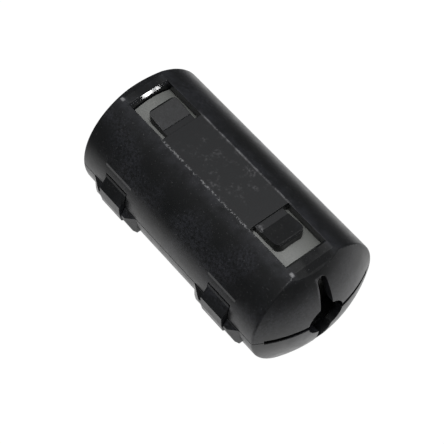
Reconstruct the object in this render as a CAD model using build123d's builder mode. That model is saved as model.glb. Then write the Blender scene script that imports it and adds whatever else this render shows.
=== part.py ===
"""Clip-on ferrite bead: two ferrite half cores in a hinged nylon case that snaps shut round a cable.

Frame: X runs along the cable, Z points up through the flat strip, the living hinge is on +Y and
the two snap latches are on -Y. The origin is the middle of the cable passage. Lengths are in millimetres.
"""

import os
from math import hypot, sqrt

from build123d import *

os.makedirs("parts", exist_ok=True)

# Ferrite half cores
core_radius = 7.8
core_length = 29.0
core_bore_radius = 3.3
core_bore_chamfer = 0.3
core_edge_chamfer = 0.5
core_air_gap = 0.06
core_clearance = 0.15

# Case wall and its split
case_wall = 1.25
parting_gap = 0.12
rim_round = 0.35
cut_overrun = 5.0
edge_pick_margin = 0.1

# Domed ends, split into petals that grip the cable
end_ring_length = 1.9
core_stop_depth = 1.05
dome_rise = 2.55
petal_wall = 1.1
petal_gap = 0.8
cable_hole_radius = 2.6
petal_slot_width = 1.3
petal_slot_mouth = 2.3
petal_slot_reach = 7.25

# Flat strip from rim to rim, with a window and a spring tongue near each end
strip_wall = 0.73
strip_end_setback = 0.45
strip_end_run = 2.0
strip_end_drop = 1.1
window_length = 6.45
window_side_ledge = 0.1
window_end_bevel = 0.35
tongue_side_gap = 0.85
tongue_flexure_length = 1.05
tongue_flexure_wall = 0.45
tongue_root_wall = 0.55
tongue_crest_reach = 3.95
tongue_crest_drop = 0.2
tongue_length = 4.25
tongue_tip_drop = 0.42
tongue_corner_radius = 0.9
tongue_core_gap = 0.03

# Lips inside the rims that keep each core in its shell
core_lip_reach = 0.4
core_lip_length = 3.0
core_lip_inset = 8.5

# Snap latches: a pocket under a low pad on the upper shell, a springy arm between two guards on the lower
latch_inset = 4.5
latch_land_depth = 0.1
latch_pad_half_width = 2.9
latch_pad_taper = 0.7
latch_pad_top = 3.9
latch_pad_rise = 0.08
latch_pad_sink = 0.1
latch_pad_shoulder = 1.4
latch_ledge_height = 1.0
arm_half_width = 1.95
arm_side_gap = 0.1
arm_gap = 0.1
arm_thickness = 0.7
arm_belly = 0.2
arm_belly_height = 0.65
arm_belly_depth = 1.0
arm_tip_run = 0.15
arm_tip_drop = 0.4
arm_root_depth = 2.15
arm_knuckle_gap = 0.05
barb_reach = 0.48
barb_gap = 0.05
barb_nose = 0.35
barb_height = 1.4
barb_tip_setback = 0.15
pocket_headroom = 0.15
guard_standoff = 0.7
guard_half_length = 4.3
guard_taper = 1.6
guard_corner_round = 0.5
guard_crown_reach = 0.1
guard_crown_depth = 0.9
guard_face_depth = 1.4
guard_depth = 2.9
guard_undercut = 0.45

# Living hinge, folded double while the case is shut
hinge_inset = 3.5
hinge_web = 0.3
hinge_fold_gap = 0.2
hinge_reach = 0.25
hinge_seat_gap = 0.02

# Sizes that follow from the ones above
cavity_radius = core_radius + core_clearance
cavity_half_length = core_length / 2 + core_clearance
case_radius = cavity_radius + case_wall
rim_x = cavity_half_length + end_ring_length
core_stop_radius = cavity_radius - core_stop_depth
end_x = rim_x + dome_rise
dome_centre_x = (end_x**2 + cable_hole_radius**2 - rim_x**2 - case_radius**2) / (2 * dome_rise)
dome_radius = hypot(end_x - dome_centre_x, cable_hole_radius)
strip_floor = cavity_radius + strip_wall
strip_half_width = sqrt(case_radius**2 - strip_floor**2)
window_half_width = strip_half_width - window_side_ledge
window_start = cavity_half_length - window_length
tongue_root = window_start + tongue_flexure_length
tongue_crest = window_start + tongue_crest_reach
tongue_end = window_start + tongue_length
core_lip_place = core_length / 2 - core_lip_inset
latch_place = core_length / 2 - latch_inset
latch_places = (latch_place, -latch_place)
land_face = case_radius - latch_land_depth
arm_inner = land_face + arm_gap
arm_outer = arm_inner + arm_thickness
arm_axis = arm_inner + arm_thickness / 2
barb_bottom = latch_ledge_height + barb_gap
arm_top = barb_bottom + barb_height
barb_face = arm_inner - barb_reach
arm_tip = barb_face + barb_tip_setback
pocket_top = arm_top + pocket_headroom
arm_slot_half_width = arm_half_width + arm_side_gap
guard_face = case_radius + guard_standoff
hinge_axis = case_radius + hinge_reach
hinge_length = core_length - 2 * hinge_inset


def on_dome_chord(radius):
    """X of the straight line from the rim to the edge of the cable hole, at a radius."""
    return rim_x + dome_rise * (case_radius - radius) / (case_radius - cable_hole_radius)


# What the two shells have in common: wall, domed ends, strip, windows, tongues and core lips
with BuildPart() as half_case:
    with BuildSketch(Plane.XY) as wall_profile:
        with BuildLine():
            Line((0, case_radius), (rim_x, case_radius))
            RadiusArc((rim_x, case_radius), (end_x, cable_hole_radius), dome_radius)
            Polyline(
                (end_x, cable_hole_radius),
                (end_x - petal_wall, cable_hole_radius),
                (on_dome_chord(core_stop_radius) - petal_wall, core_stop_radius),
                (cavity_half_length, core_stop_radius),
                (cavity_half_length, cavity_radius),
                (0, cavity_radius),
            )
            mirror(about=Plane.YZ)
        make_face()
        rim_corners = wall_profile.vertices().group_by(Axis.Y)[-1].sort_by(Axis.X)
        fillet([rim_corners[0], rim_corners[-1]], radius=rim_round)
    revolve(axis=Axis.X, revolution_arc=180)

    # Gap along the parting plane, wider between the petals, and the slot at the top of each end
    with BuildSketch(Plane.YZ) as split_gaps:
        Rectangle(2 * (case_radius + cut_overrun), parting_gap)
        Rectangle(2 * cavity_radius, petal_gap)
        slot_round_height = petal_slot_reach - petal_slot_width / 2
        with BuildLine():
            Polyline(
                (petal_slot_mouth / 2, 0),
                (petal_slot_width / 2, slot_round_height),
                (-petal_slot_width / 2, slot_round_height),
                (-petal_slot_mouth / 2, 0),
                close=True,
            )
        make_face()
        with Locations((0, slot_round_height)):
            Circle(petal_slot_width / 2)
    extrude(amount=end_x + cut_overrun, both=True, mode=Mode.SUBTRACT)

    # Flat of the strip with its sloping ends, and the windows with a bevel at their outer ends
    with BuildSketch(Plane.XZ) as strip_profile:
        strip_end = rim_x - strip_end_setback
        with BuildLine():
            Polyline(
                (0, strip_floor),
                (strip_end, strip_floor),
                (strip_end + strip_end_run, strip_floor - strip_end_drop),
                (strip_end + strip_end_run, case_radius + cut_overrun),
                (0, case_radius + cut_overrun),
            )
            mirror(about=Plane.YZ)
        make_face()
    extrude(amount=case_radius, both=True, mode=Mode.SUBTRACT)
    with BuildSketch(Plane.XZ) as window_profile:
        with BuildLine():
            Polyline(
                (window_start, core_bore_radius),
                (cavity_half_length, core_bore_radius),
                (cavity_half_length, strip_floor - window_end_bevel),
                (cavity_half_length + window_end_bevel, strip_floor),
                (cavity_half_length + window_end_bevel, case_radius + cut_overrun),
                (window_start, case_radius + cut_overrun),
                close=True,
            )
        make_face()
        mirror(about=Plane.YZ)
    extrude(amount=window_half_width, both=True, mode=Mode.SUBTRACT)

    # Spring tongues that reach over the core from the ends of the strip
    with BuildSketch(Plane.XZ) as tongue_profile:
        with BuildLine():
            Polyline(
                (window_start, core_bore_radius),
                (window_start, cavity_radius + tongue_flexure_wall),
                (tongue_root, cavity_radius + tongue_flexure_wall),
                (tongue_root, cavity_radius + tongue_root_wall),
                (tongue_crest, case_radius - tongue_crest_drop),
                (tongue_end, case_radius - tongue_tip_drop),
                (tongue_end, core_bore_radius),
                close=True,
            )
        make_face()
        mirror(about=Plane.YZ)
    tongue_half_width = window_half_width - tongue_side_gap
    extrude(amount=tongue_half_width, both=True)
    tongue_corners = half_case.edges().filter_by(Axis.Z).filter_by(
        lambda edge: abs(abs(edge.center().X) - tongue_end) < edge_pick_margin
    )
    fillet(tongue_corners, radius=tongue_corner_radius)
    with BuildSketch(Plane.YZ) as core_room:
        Circle(core_radius + tongue_core_gap)
    extrude(amount=cavity_half_length, both=True, mode=Mode.SUBTRACT)

    # Lips along the rims, under the chamfered edges of the core
    for side in (1, -1):
        with BuildSketch(Plane.YZ, mode=Mode.PRIVATE) as lip_profile:
            lip_foot = sqrt(cavity_radius**2 - (parting_gap / 2 + core_lip_reach) ** 2)
            with BuildLine():
                Polyline(
                    (side * (cavity_radius - core_lip_reach), parting_gap / 2),
                    (side * (cavity_radius + case_wall / 2), parting_gap / 2),
                    (side * (cavity_radius + case_wall / 2), parting_gap / 2 + core_lip_reach),
                    (side * lip_foot, parting_gap / 2 + core_lip_reach),
                    close=True,
                )
            make_face()
        lip = extrude(lip_profile.sketch, amount=core_lip_length / 2, both=True, mode=Mode.PRIVATE)
        for place in (core_lip_place, -core_lip_place):
            add(Pos(place, 0, 0) * lip)

# Upper shell: the pocket that takes each arm's barb, under a low pad
with BuildPart() as upper_shell:
    add(half_case.part)
    for place in latch_places:
        pad_face = sqrt(case_radius**2 - latch_pad_top**2) + latch_pad_rise
        shoulder_height = latch_pad_top + latch_pad_shoulder
        shoulder_face = sqrt(case_radius**2 - shoulder_height**2)
        with BuildSketch(Plane.XY, mode=Mode.PRIVATE) as pad_plan:
            with BuildLine():
                Polyline(
                    (place - latch_pad_half_width, -core_bore_radius),
                    (place - latch_pad_half_width, -shoulder_face),
                    (place - latch_pad_half_width + latch_pad_taper, -case_radius),
                    (place + latch_pad_half_width - latch_pad_taper, -case_radius),
                    (place + latch_pad_half_width, -shoulder_face),
                    (place + latch_pad_half_width, -core_bore_radius),
                    close=True,
                )
            make_face()
        pads = extrude(pad_plan.sketch, amount=case_radius, mode=Mode.PRIVATE)
        with BuildSketch(Plane.YZ.offset(place), mode=Mode.PRIVATE) as pad_section:
            with BuildLine():
                Polyline(
                    (-core_bore_radius, pocket_top),
                    (-(sqrt(case_radius**2 - pocket_top**2) - latch_pad_sink), pocket_top),
                    (-pad_face, latch_pad_top),
                    (-shoulder_face, shoulder_height),
                    (-core_bore_radius, shoulder_height),
                    close=True,
                )
            make_face()
            Circle(cavity_radius + case_wall / 2, mode=Mode.SUBTRACT)
        section = extrude(pad_section.sketch, amount=latch_pad_half_width, both=True, mode=Mode.PRIVATE)
        add(pads & section)
        with BuildSketch(Plane.YZ.offset(place)) as pocket:
            with Locations((-land_face, 0)):
                Rectangle(cut_overrun, 2 * pocket_top, align=(Align.MAX, Align.CENTER))
            with Locations((-(barb_face - arm_gap), latch_ledge_height)):
                Rectangle(cut_overrun, pocket_top - latch_ledge_height, align=(Align.MAX, Align.MIN))
        extrude(amount=arm_slot_half_width, both=True, mode=Mode.SUBTRACT)
upper_shell.part.label = "upper_shell"
export_step(upper_shell.part, "parts/upper_shell.step")

# Lower shell: tapered guards beside each arm, with the seat that the arm springs from
with BuildPart() as lower_shell:
    mirror(half_case.part, about=Plane.XY)
    for place in latch_places:
        with BuildSketch(Plane.XY, mode=Mode.PRIVATE) as guard_plan:
            with BuildLine():
                guard_root = cavity_radius + case_wall / 2
                Polyline(
                    (place - guard_half_length, -guard_root),
                    (place - guard_half_length, -case_radius),
                    (place - guard_half_length + guard_taper, -guard_face),
                    (place + guard_half_length - guard_taper, -guard_face),
                    (place + guard_half_length, -case_radius),
                    (place + guard_half_length, -guard_root),
                    close=True,
                )
            make_face()
            fillet(guard_plan.vertices().group_by(Axis.Y)[0], radius=guard_corner_round)
        guards = extrude(guard_plan.sketch, amount=-guard_depth, mode=Mode.PRIVATE)
        with BuildSketch(Plane.YZ.offset(place), mode=Mode.PRIVATE) as guard_section:
            with BuildLine():
                Polyline(
                    (-core_bore_radius, -parting_gap / 2),
                    (-(case_radius + guard_crown_reach), -parting_gap / 2),
                    (-guard_face, -guard_crown_depth),
                    (-guard_face, -guard_face_depth),
                    (-(guard_face - guard_undercut), -guard_depth),
                    (-core_bore_radius, -guard_depth),
                    close=True,
                )
            make_face()
        section = extrude(guard_section.sketch, amount=guard_half_length, both=True, mode=Mode.PRIVATE)
        add(guards & section)
        with BuildSketch(Plane.YZ.offset(place)) as arm_slot:
            with Locations((-land_face, -arm_root_depth)):
                Rectangle(cut_overrun, arm_root_depth, align=(Align.MAX, Align.MIN))
            with Locations((-arm_axis, -arm_root_depth)):
                Circle(arm_thickness / 2 + arm_knuckle_gap)
        extrude(amount=arm_slot_half_width, both=True, mode=Mode.SUBTRACT)
lower_shell.part.label = "lower_shell"
export_step(lower_shell.part, "parts/lower_shell.step")


def latch_arm_profile():
    """Side view of a latch arm: round root, straight back, barb that points in, belly and sloping face."""
    with BuildSketch() as profile:
        with BuildLine():
            Polyline(
                (-arm_inner, -arm_root_depth),
                (-arm_inner, barb_bottom),
                (-barb_face, barb_bottom),
                (-barb_face, barb_bottom + barb_nose),
                (-arm_tip, arm_top),
                (-(arm_tip + arm_tip_run), arm_top - arm_tip_drop),
                (-(arm_outer + arm_belly), arm_belly_height),
                (-(arm_outer + arm_belly), -arm_belly_depth),
                (-arm_outer, -arm_root_depth),
                close=True,
            )
        make_face()
        with Locations((-arm_axis, -arm_root_depth)):
            Circle(arm_thickness / 2)
    return profile.sketch


# Latch arms: each swings outwards on its root to let the barb pass the ledge
with BuildPart() as near_latch_arm:
    extrude(Plane.YZ.offset(latch_place) * latch_arm_profile(), amount=arm_half_width, both=True)
near_latch_arm.part.label = "near_latch_arm"
export_step(near_latch_arm.part, "parts/near_latch_arm.step")

with BuildPart() as far_latch_arm:
    extrude(Plane.YZ.offset(-latch_place) * latch_arm_profile(), amount=arm_half_width, both=True)
far_latch_arm.part.label = "far_latch_arm"
export_step(far_latch_arm.part, "parts/far_latch_arm.step")

# Living hinge: a thin web from rim to rim, folded outwards
with BuildPart() as living_hinge:
    with BuildSketch(Plane.YZ) as fold:
        fold_radius = hinge_fold_gap / 2 + hinge_web
        with Locations((hinge_axis, 0)):
            Circle(fold_radius)
            Rectangle(hinge_reach + case_wall, 2 * fold_radius, align=(Align.MAX, Align.CENTER))
            Circle(hinge_fold_gap / 2, mode=Mode.SUBTRACT)
            Rectangle(
                hinge_reach + case_wall,
                hinge_fold_gap,
                align=(Align.MAX, Align.CENTER),
                mode=Mode.SUBTRACT,
            )
        Circle(case_radius + hinge_seat_gap, mode=Mode.SUBTRACT)
    extrude(amount=hinge_length / 2, both=True)
living_hinge.part.label = "living_hinge"
export_step(living_hinge.part, "parts/living_hinge.step")

# Ferrite half cores: half tubes ground flat where they meet
with BuildPart() as upper_ferrite:
    with BuildSketch(Plane.YZ) as core_section:
        Circle(core_radius)
        Circle(core_bore_radius, mode=Mode.SUBTRACT)
        with Locations((0, core_air_gap / 2)):
            Rectangle(
                2 * (core_radius + cut_overrun),
                core_radius + cut_overrun,
                align=(Align.CENTER, Align.MAX),
                mode=Mode.SUBTRACT,
            )
        outer_corners = core_section.vertices().sort_by(Axis.X)
        chamfer([outer_corners[0], outer_corners[-1]], length=core_edge_chamfer)
    extrude(amount=core_length / 2, both=True)
    bore_ends = upper_ferrite.edges().filter_by(GeomType.CIRCLE).filter_by(
        lambda edge: abs(edge.radius - core_bore_radius) < edge_pick_margin
    )
    chamfer(bore_ends, length=core_bore_chamfer)
upper_ferrite.part.label = "upper_ferrite"
export_step(upper_ferrite.part, "parts/upper_ferrite.step")

with BuildPart() as lower_ferrite:
    mirror(upper_ferrite.part, about=Plane.XY)
lower_ferrite.part.label = "lower_ferrite"
export_step(lower_ferrite.part, "parts/lower_ferrite.step")
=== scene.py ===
import math

import bpy
import numpy as np
from mathutils import Euler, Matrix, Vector


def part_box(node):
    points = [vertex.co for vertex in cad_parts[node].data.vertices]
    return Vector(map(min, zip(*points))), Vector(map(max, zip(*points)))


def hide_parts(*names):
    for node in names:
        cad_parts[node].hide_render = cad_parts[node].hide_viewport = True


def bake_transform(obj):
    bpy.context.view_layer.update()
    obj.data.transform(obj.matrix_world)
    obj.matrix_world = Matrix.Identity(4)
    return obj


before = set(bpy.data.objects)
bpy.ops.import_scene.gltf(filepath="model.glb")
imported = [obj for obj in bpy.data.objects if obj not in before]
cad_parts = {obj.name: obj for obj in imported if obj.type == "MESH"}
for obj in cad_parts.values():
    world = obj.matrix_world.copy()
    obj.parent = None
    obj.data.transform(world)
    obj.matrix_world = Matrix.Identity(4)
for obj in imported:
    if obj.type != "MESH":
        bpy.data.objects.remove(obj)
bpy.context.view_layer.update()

# Ferrite half cores
# Two half tubes of grey ferrite ceramic, pressed from powder, sintered and tumbled, with the meeting faces
# ground flat. They lie loose in the shells, and the spring tongues press them together.
mm = 0.001


def linear(hex_colour):
    """An sRGB hex colour as the linear RGBA that the sockets take."""
    shares = np.array([int(hex_colour[i:i + 2], 16) for i in (1, 3, 5)]) / 255
    rgb = np.where(shares <= 0.04045, shares / 12.92, ((shares + 0.055) / 1.055) ** 2.4)
    return (*rgb.tolist(), 1.0)


def new_material(name):
    """A node material with no nodes in it yet."""
    material = bpy.data.materials.new(name)
    material.use_nodes = True
    material.node_tree.nodes.clear()
    return material


def add(material, kind, inputs=None, **settings):
    """Adds one node: settings are its own options, inputs its sockets, each a value or another node's output."""
    node = material.node_tree.nodes.new(kind)
    for option, value in settings.items():
        setattr(node, option, value)
    for socket, value in (inputs or {}).items():
        if isinstance(value, bpy.types.NodeSocket):
            material.node_tree.links.new(value, node.inputs[socket])
        else:
            node.inputs[socket].default_value = value
    return node


def sintered_ferrite():
    """Grey ceramic with a fine salt and pepper grain, dull from tumbling."""
    grain_size = 0.16 * mm
    stain_size = 1.4 * mm
    material = new_material("sintered_ferrite")
    place = add(material, "ShaderNodeTexCoord").outputs["Object"]
    grain = add(
        material, "ShaderNodeTexNoise",
        {"Vector": place, "Scale": 1 / grain_size, "Detail": 3.0, "Roughness": 0.7},
    )
    stain = add(
        material, "ShaderNodeTexNoise",
        {"Vector": place, "Scale": 1 / stain_size, "Detail": 4.0, "Roughness": 0.6},
    )
    speckle = add(material, "ShaderNodeValToRGB", {"Fac": grain.outputs["Fac"]})
    ramp = speckle.color_ramp
    ramp.elements[0].position = 0.3
    ramp.elements[0].color = linear("#4a4c4a")
    ramp.elements[1].position = 0.7
    ramp.elements[1].color = linear("#6b6c68")
    shade = add(
        material, "ShaderNodeMix",
        {"Factor": stain.outputs["Fac"], "A": speckle.outputs["Color"], "B": linear("#595b59")},
        data_type="RGBA",
    )
    bump = add(
        material, "ShaderNodeBump",
        {"Height": grain.outputs["Fac"], "Strength": 0.35, "Distance": 0.03 * mm},
    )
    surface = add(
        material, "ShaderNodeBsdfPrincipled",
        {
            "Base Color": shade.outputs["Result"],
            "Roughness": 0.5,
            "IOR": 1.75,
            "Normal": bump.outputs["Normal"],
        },
    )
    add(material, "ShaderNodeOutputMaterial", {"Surface": surface.outputs["BSDF"]})
    return material


def finish_node(name, material):
    """Puts a material on every slot of a solid from the frame."""
    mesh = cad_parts[name].data
    mesh.materials.clear()
    mesh.materials.append(material)


ferrite = sintered_ferrite()
finish_node("lower_ferrite", ferrite)
finish_node("upper_ferrite", ferrite)

# Case shells and latch arms
# Two halves of black nylon, moulded in one shot with the latch arms. The mould leaves a satin gloss on the
# round walls and the flat strip is rubbed duller. The strip's edges and the roots of the tongues are painted
# pale, partly as furred plastic and partly as painted highlight. Painted glints sit where the strip's left edge
# meets the rims, and a painted highlight runs along one side of each slot in the end caps.
# Dust and faint marks of handling lie on the walls.
strip_half_width = 3.05 * mm
strip_level = 8.6 * mm
tongue_root = 9.25 * mm
window_end = 14.65 * mm
strip_end = 16.1 * mm
case_rim = 16.55 * mm
slot_reach = 7.25 * mm


def moulded_nylon():
    """Black nylon: satin walls, a duller flat strip, pale furred edges and painted highlights and glints."""
    material = new_material("moulded_nylon")
    place = add(material, "ShaderNodeTexCoord").outputs["Object"]
    along, across, up = add(material, "ShaderNodeSeparateXYZ", {"Vector": place}).outputs

    def math_node(operation, *values):
        """One sum on values or sockets."""
        return add(material, "ShaderNodeMath", dict(enumerate(values)), operation=operation).outputs[0]

    def fade(value, none, full):
        """0 where the value is at none, 1 where it is at full, smooth between."""
        return add(
            material, "ShaderNodeMapRange", {"Value": value, "From Min": none, "From Max": full},
            interpolation_type="SMOOTHSTEP",
        ).outputs["Result"]

    def product(*values):
        """Several factors multiplied."""
        result = values[0]
        for value in values[1:]:
            result = math_node("MULTIPLY", result, value)
        return result

    def noise(size, detail=2.0, roughness=0.5):
        """Noise with spots of about a size, from 0 to 1."""
        return add(
            material, "ShaderNodeTexNoise",
            {"Vector": place, "Scale": 1 / size, "Detail": detail, "Roughness": roughness},
        ).outputs["Fac"]

    def blend(factor, first, second):
        """One colour where the factor is 0, another where it is 1."""
        return add(
            material, "ShaderNodeMix", {"Factor": factor, "A": first, "B": second}, data_type="RGBA",
        ).outputs["Result"]

    flow = noise(6.0 * mm)
    mottle = noise(1.3 * mm, 5.0, 0.6)
    rub = noise(0.35 * mm, 4.0, 0.65)
    skin = noise(0.1 * mm)
    dust = fade(noise(0.22 * mm, 3.0, 0.6), 0.62, 0.72)

    length_out = math_node("ABSOLUTE", along)
    width_out = math_node("ABSOLUTE", across)
    height_out = math_node("ABSOLUTE", up)
    on_top = fade(height_out, strip_level - 0.1 * mm, strip_level)
    worn_top = product(
        fade(height_out, 7.7 * mm, 8.7 * mm), fade(width_out, 2.4 * mm, 2.9 * mm), fade(mottle, 0.2, 0.75),
    )
    on_strip = product(
        fade(height_out, 8.3 * mm, 8.38 * mm), fade(length_out, tongue_root, tongue_root - 0.1 * mm),
        fade(width_out, strip_half_width, strip_half_width - 0.1 * mm),
    )
    left_off = math_node("ABSOLUTE", math_node("ADD", across, strip_half_width))
    right_off = math_node("ABSOLUTE", math_node("SUBTRACT", across, strip_half_width))
    in_length = fade(length_out, 9.6 * mm, 7.0 * mm)
    # The strip's edges are painted pale: partly furred plastic, partly a painted highlight along the edges.
    left_edge_fur_and_highlight = product(on_top, fade(left_off, 0.24 * mm, 0.02 * mm), fade(rub, 0.46, 0.66), in_length)
    right_edge_fur_and_highlight = product(
        on_top, fade(right_off, 0.2 * mm, 0.02 * mm), fade(mottle, 0.35, 0.65), in_length, 0.7,
    )
    # Pale dots along the near tongue roots: partly scuffs, partly a painted highlight on the root's step.
    root_scuffs_and_highlight = product(
        fade(along, 8.1 * mm, 8.5 * mm), fade(along, tongue_root + 0.3 * mm, tongue_root),
        fade(height_out, 8.0 * mm, 8.2 * mm), fade(rub, 0.46, 0.6), fade(across, -1.0 * mm, -2.4 * mm),
        fade(across, -3.2 * mm, -3.0 * mm),
    )
    # A painted glint where the strip's left edge meets each rim.
    painted_rim_glint = product(
        on_top, fade(length_out, strip_end - 0.5 * mm, strip_end - 0.2 * mm), fade(left_off, 0.3 * mm, 0.1 * mm),
    )
    # A painted highlight along one side of each slot in the end caps, where its rounded edge would catch the
    # light.
    slot_half_width = add(
        material, "ShaderNodeMapRange",
        {"Value": height_out, "From Max": 6.6 * mm, "To Min": 1.15 * mm, "To Max": 0.65 * mm},
    ).outputs["Result"]
    painted_slot_highlight = product(
        fade(math_node("SUBTRACT", width_out, slot_half_width), 0.35 * mm, 0.0),
        fade(length_out, case_rim - 0.15 * mm, case_rim + 0.45 * mm),
        fade(height_out, 2.6 * mm, 6.0 * mm), fade(height_out, slot_reach + 0.25 * mm, slot_reach - 0.05 * mm),
        fade(across, 0.5 * mm, -0.3 * mm), fade(mottle, 0.25, 0.7), 0.45,
    )
    # All pale patches together: furred plastic, scuffs, and painted highlights and glints.
    fur_and_painted_highlights = left_edge_fur_and_highlight
    for patch in (right_edge_fur_and_highlight, root_scuffs_and_highlight, painted_rim_glint, painted_slot_highlight):
        fur_and_painted_highlights = math_node("MAXIMUM", fur_and_painted_highlights, patch)
    scuffed = product(
        on_strip, fade(length_out, 7.5 * mm, 4.0 * mm), fade(mottle, 0.5, 0.72), fade(rub, 0.4, 0.7),
    )
    window_lip = product(
        fade(length_out, window_end - 0.15 * mm, window_end - 0.05 * mm), fade(height_out, 8.2 * mm, 8.3 * mm),
    )
    polished = product(window_lip, fade(across, -1.6 * mm, -0.8 * mm), fade(across, 2.6 * mm, 1.2 * mm))
    plain = math_node("SUBTRACT", 1.0, polished)

    handled = product(fade(flow, 0.4, 0.65), fade(rub, 0.35, 0.65))
    wall_tone = blend(math_node("MAXIMUM", worn_top, handled), linear("#121314"), linear("#25262a"))
    wall_tone = blend(product(dust, 0.5), wall_tone, linear("#4a4a4b"))
    strip_tone = blend(scuffed, linear("#161719"), linear("#464648"))
    # The pale #747476 is both furred plastic and painted highlights and glints.
    tone = blend(fur_and_painted_highlights, blend(on_strip, wall_tone, strip_tone), linear("#747476"))
    satin = add(
        material, "ShaderNodeMapRange",
        {"Value": mottle, "From Min": 0.3, "From Max": 0.7, "To Min": 0.28, "To Max": 0.38},
    ).outputs["Result"]
    dull = math_node("MULTIPLY", math_node("MAXIMUM", on_strip, fur_and_painted_highlights), 0.42)
    rough = math_node("SUBTRACT", math_node("MAXIMUM", satin, dull), math_node("MULTIPLY", polished, 0.26))

    relief = add(material, "ShaderNodeBevel", {"Radius": 0.08 * mm}, samples=8).outputs["Normal"]
    for height, depth, strength in (
        (product(flow, plain), 0.05 * mm, 0.2),
        (product(skin, plain), 0.008 * mm, 0.12),
        (product(mottle, on_strip), 0.03 * mm, 0.3),
        (fur_and_painted_highlights, 0.05 * mm, 0.5),
    ):
        relief = add(
            material, "ShaderNodeBump",
            {"Height": height, "Distance": depth, "Strength": strength, "Normal": relief},
        ).outputs["Normal"]
    surface = add(
        material, "ShaderNodeBsdfPrincipled",
        {
            "Base Color": tone,
            "Roughness": rough,
            "IOR": 1.53,
            "Specular IOR Level": 0.34,
            "Normal": relief,
        },
    )
    add(material, "ShaderNodeOutputMaterial", {"Surface": surface.outputs["BSDF"]})
    return material


nylon = moulded_nylon()
for piece in ("lower_shell", "upper_shell", "near_latch_arm", "far_latch_arm"):
    finish_node(piece, nylon)

# Living hinge
# A thin web of the same nylon, moulded flat between the rims of the shells and folded outwards when the case
# shuts. Its crease is coined flat.
web_low, web_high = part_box("living_hinge")
web_half_length = web_high.x
fold_radius = web_high.z
fold_axis = web_high.y - fold_radius
web_root = web_low.y
web_wall = 0.3 * mm
inner_half_height = fold_radius - web_wall
crease_half_height = 2 * inner_half_height
arc_steps = 8


def folded_web():
    """A C section swept along X: two flat legs, and a fold of two arcs with a flat crease between them.

    The outer side is a circle about the fold axis, cut flat from the crease's low edge to its high edge. The
    inner side is a box that ends on the fold axis, so every corner lies clear of the middle of the crease.
    """
    angles = np.linspace(-math.pi / 2, -math.asin(crease_half_height / fold_radius), arc_steps)
    arc = np.stack([fold_axis + fold_radius * np.cos(angles), fold_radius * np.sin(angles)], axis=1)
    outline = np.concatenate([
        [[web_root, -fold_radius]], arc, arc[::-1] * (1, -1), [[web_root, fold_radius]],
        [[web_root, inner_half_height], [fold_axis, inner_half_height]],
        [[fold_axis, -inner_half_height], [web_root, -inner_half_height]],
    ])
    count = len(outline)
    points = np.concatenate([
        np.column_stack([np.full(count, x), outline]) for x in (-web_half_length, web_half_length)
    ])
    ring = list(range(count))
    faces = [(k, (k + 1) % count, (k + 1) % count + count, k + count) for k in ring]
    low_leg = ring[:arc_steps + 1] + ring[-2:]
    crease = [arc_steps, arc_steps + 1, count - 3, count - 2]
    high_leg = ring[arc_steps + 1:-2]
    for part in (low_leg, crease, high_leg):
        faces += [[k + count for k in part], part[::-1]]
    return points, faces


web_points, web_faces = folded_web()
web_mesh = bpy.data.meshes.new("hinge_web")
web_mesh.from_pydata(web_points.tolist(), [], web_faces)
web_mesh.materials.append(nylon)
hinge_web = bpy.data.objects.new("hinge_web", web_mesh)
bpy.context.scene.collection.objects.link(hinge_web)
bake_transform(hinge_web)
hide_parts("living_hinge")

# Floor, light and camera
# A plain white table top, soft studio light from overhead and the camera above the near end. Mirror
# reflections pass through the table, and the surroundings show them its bright part instead.
table_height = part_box("lower_shell")[0].z
table_radius = 1.5
table_mesh = bpy.data.meshes.new("table_top")
corners = [(-1, -1), (1, -1), (1, 1), (-1, 1)]
table_points = [(x * table_radius, y * table_radius, table_height) for x, y in corners]
table_mesh.from_pydata(table_points, [], [(0, 1, 2, 3)])
table_top = bpy.data.objects.new("table_top", table_mesh)
bpy.context.scene.collection.objects.link(table_top)
table_paper = new_material("table_paper")
paper = add(
    table_paper, "ShaderNodeBsdfPrincipled",
    {
        "Base Color": linear("#303030"),
        "Roughness": 0.8,
        "Specular IOR Level": 0.0,
        "Emission Color": linear("#ffffff"),
        "Emission Strength": 1.0,
    },
)
add(table_paper, "ShaderNodeOutputMaterial", {"Surface": paper.outputs["BSDF"]})
table_mesh.materials.append(table_paper)
table_top.visible_glossy = False


def soft_light(name, direction, distance, width, power):
    """A square area light that faces the object from a direction."""
    lamp = bpy.data.lights.new(name, "AREA")
    lamp.size = width
    lamp.energy = power
    holder = bpy.data.objects.new(name, lamp)
    bpy.context.scene.collection.objects.link(holder)
    away = Vector(direction).normalized()
    holder.location = away * distance
    holder.rotation_euler = away.to_track_quat("Z", "Y").to_euler()


soft_light("key_light", (0.1, -0.05, 0.99), 0.7, 0.3, 4.0)
soft_light("overhead", (-0.05, 0.3, 0.95), 0.6, 0.35, 0.3)
soft_light("glint", (0.7799, 0.3540, 0.5162), 0.6728, 0.01, 0.03)

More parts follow.
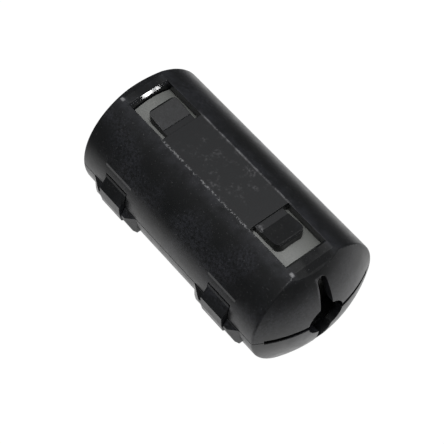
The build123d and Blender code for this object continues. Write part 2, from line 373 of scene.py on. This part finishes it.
world = bpy.data.worlds.new("studio")
world.use_nodes = True
ray = add(world, "ShaderNodeTexCoord").outputs["Generated"]
rise = add(world, "ShaderNodeSeparateXYZ", {"Vector": ray}).outputs["Z"]
ceiling = add(
    world, "ShaderNodeMapRange",
    {"Value": rise, "From Min": 0.2, "From Max": 1.0, "To Min": 0.07, "To Max": 0.35},
).outputs["Result"]
camera_side = (0.777, -0.63, 0)
upwards = (0.015, -0.14, 1.0)
lean = add(
    world, "ShaderNodeVectorMath", {0: ray, 1: camera_side}, operation="DOT_PRODUCT",
).outputs["Value"]
drop = add(
    world, "ShaderNodeVectorMath", {0: ray, 1: upwards}, operation="DOT_PRODUCT",
).outputs["Value"]
lean_size = add(world, "ShaderNodeMath", {0: lean}, operation="ABSOLUTE").outputs[0]
table_edge = add(world, "ShaderNodeMath", {0: lean_size, 1: 0.25, 2: drop}, operation="MULTIPLY_ADD").outputs[0]
bright_table = add(
    world, "ShaderNodeMapRange",
    {"Value": table_edge, "From Min": -0.15, "From Max": -0.45, "To Min": 0.0, "To Max": 0.93},
    interpolation_type="SMOOTHSTEP",
).outputs["Result"]
surroundings = add(world, "ShaderNodeMath", {0: ceiling, 1: bright_table}, operation="ADD").outputs[0]
background = world.node_tree.nodes["Background"]
world.node_tree.links.new(surroundings, background.inputs["Strength"])
background.inputs["Color"].default_value = linear("#ffffff")
bpy.context.scene.world = world
bpy.context.scene.view_settings.view_transform = "Standard"

photo_pixels = 444
camera_azimuth = math.radians(50.958)
camera_elevation = math.radians(56.530)
camera_roll = math.radians(0.356)
camera_distance = 210.587 * mm
focal_pixels = 1719.15
origin_pixel = (224.4, 211.0)

camera_data = bpy.data.cameras.new("photo_camera")
camera_data.sensor_width = 36.0
camera_data.lens = focal_pixels / photo_pixels * camera_data.sensor_width
camera_data.shift_x = (photo_pixels / 2 - origin_pixel[0]) / photo_pixels
camera_data.shift_y = (origin_pixel[1] - photo_pixels / 2) / photo_pixels
camera_data.clip_start = 1 * mm
camera_data.clip_end = 10
camera = bpy.data.objects.new("photo_camera", camera_data)
bpy.context.scene.collection.objects.link(camera)
back = Vector((
    math.sin(camera_azimuth) * math.cos(camera_elevation),
    -math.cos(camera_azimuth) * math.cos(camera_elevation),
    math.sin(camera_elevation),
))
camera.location = back * camera_distance
camera.rotation_mode = "QUATERNION"
camera.rotation_quaternion = (-back).to_track_quat("-Z", "Y") @ Euler((0, 0, camera_roll)).to_quaternion()
bpy.context.scene.camera = camera
